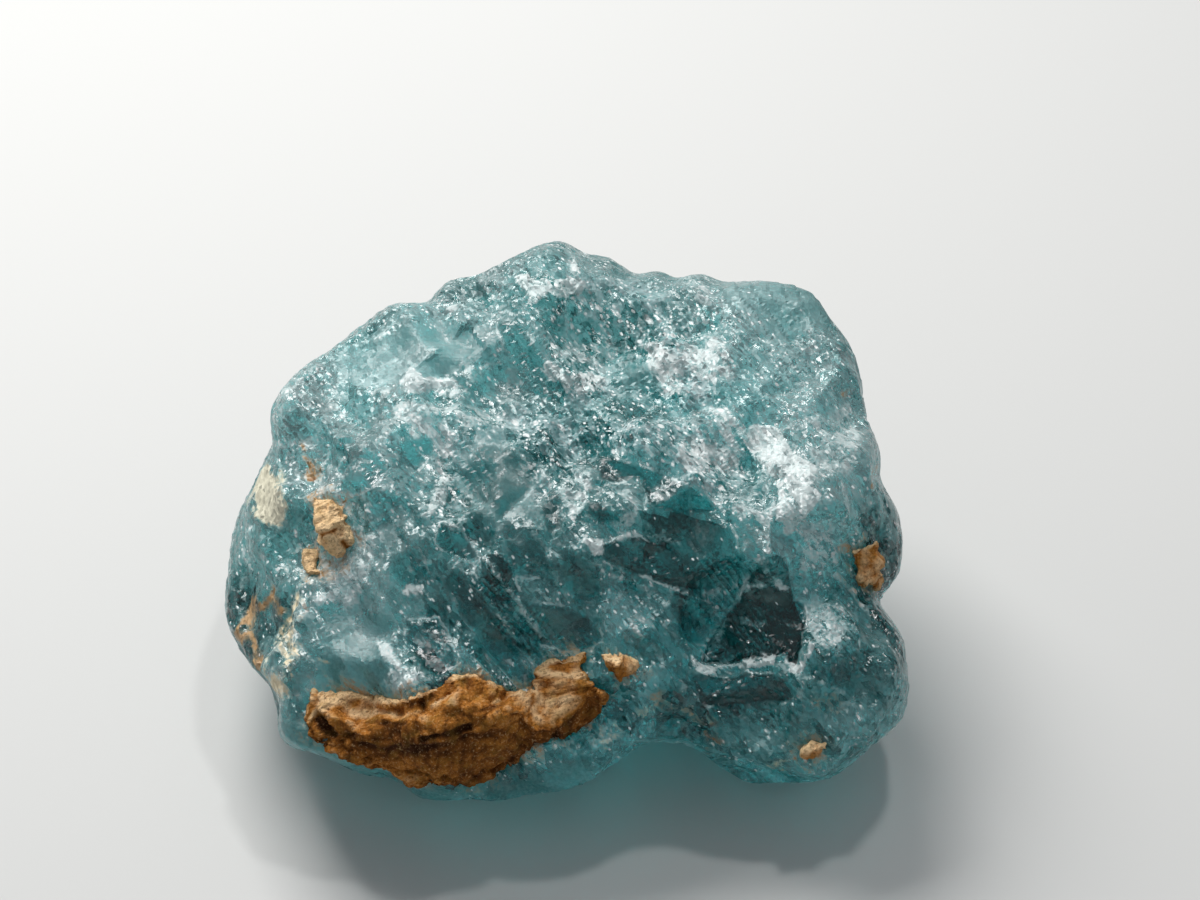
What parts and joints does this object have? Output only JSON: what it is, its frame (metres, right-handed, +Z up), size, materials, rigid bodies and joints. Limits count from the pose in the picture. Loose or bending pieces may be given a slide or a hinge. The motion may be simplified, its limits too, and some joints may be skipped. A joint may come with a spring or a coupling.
{
  "type": "rough grandidierite crystal",
  "caption": "Rough blue-green grandidierite crystal, a broken translucent lump with dried clay on its front, for display or as a mineral sample.",
  "frame": {"origin": "centre of the bounding box's bottom, where the stone rests", "axes": "+X along the stone's width, +Y away from its front, +Z up"},
  "size_m": [0.0244, 0.0203, 0.0137],
  "materials": {
    "crystal": "translucent blue-green crystal, broken and glittering",
    "clay": "dry orange-brown clay"
  },
  "bodies": {
    "root": {"crystal": "crystal", "clay_band": "clay", "clay_lump_left": "clay", "clay_spot_left_lower": "clay", "clay_spot_front": "clay", "clay_patch_right": "clay", "clay_spot_right_low": "clay"}
  },
  "joints": []
}
